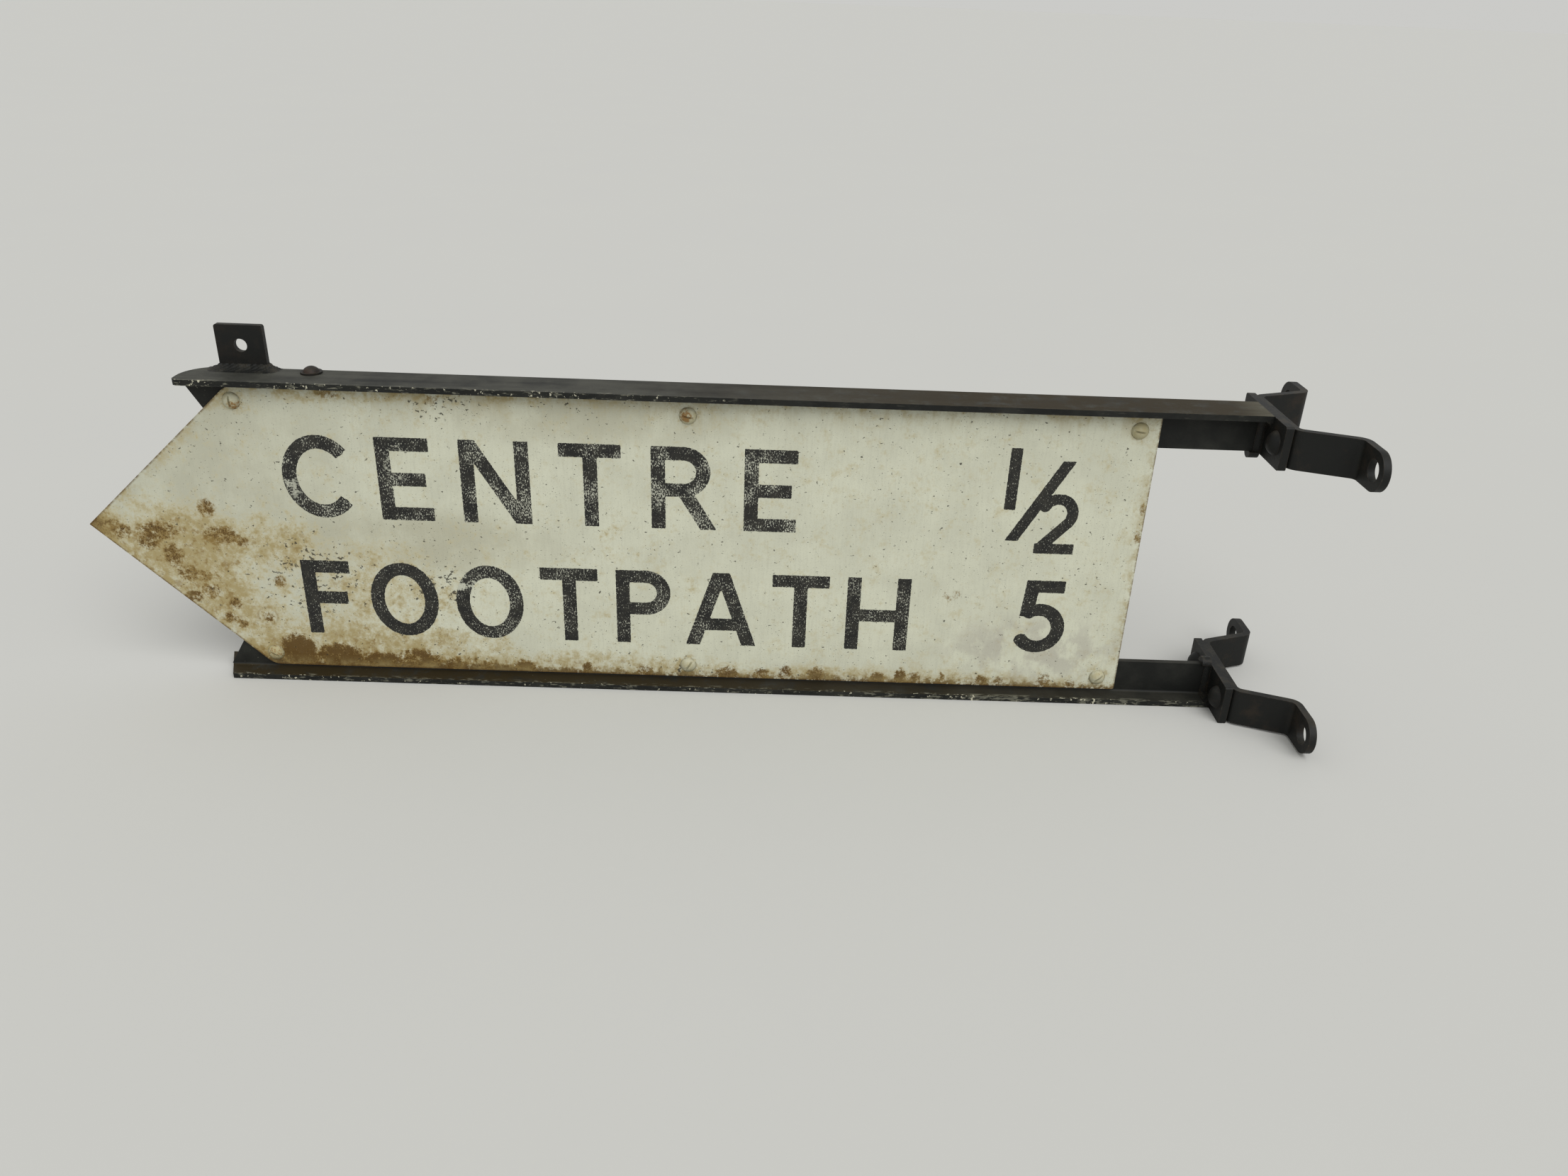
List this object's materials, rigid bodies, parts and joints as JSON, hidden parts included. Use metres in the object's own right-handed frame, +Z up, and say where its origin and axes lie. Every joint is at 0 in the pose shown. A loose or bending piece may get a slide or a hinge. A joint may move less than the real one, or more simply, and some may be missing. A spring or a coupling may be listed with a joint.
{
  "type": "road sign",
  "caption": "Left-pointing finger post road sign arm: a pointed white plate screwed to steel tee rails, each ending in a bent strap that bolts round a post.",
  "frame": {"origin": "middle of the length, in the plane of the rail stems, on the underside of the lower rail", "axes": "+X along the arm from the point to the post clamps, +Y from the reader through the plate to its back, +Z up"},
  "size_m": [1.0218, 0.2028, 0.306],
  "materials": {
    "plate_white": "worn off-white paint on steel plate, with rust stains",
    "rail_black": "satin black paint on rolled steel",
    "clamp_black": "worn black paint on forged bar, brownish at the edges",
    "screw_white": "off-white paint over steel, rusty in places"
  },
  "bodies": {
    "root": {"sign_plate": "plate_white", "top_rail": "rail_black", "bottom_rail": "rail_black", "stay_tab": "rail_black", "stay_tab_weld": "rail_black", "top_end_plate": "clamp_black", "bottom_end_plate": "clamp_black", "top_post_strap": "clamp_black", "bottom_post_strap": "clamp_black", "strap_rivets": "clamp_black", "rail_end_welds": "clamp_black", "plate_screws": "screw_white", "plate_nuts": "rail_black", "table_bolt": "clamp_black", "table_bolt_washer": "rail_black", "table_bolt_nut": "rail_black"}
  },
  "joints": []
}
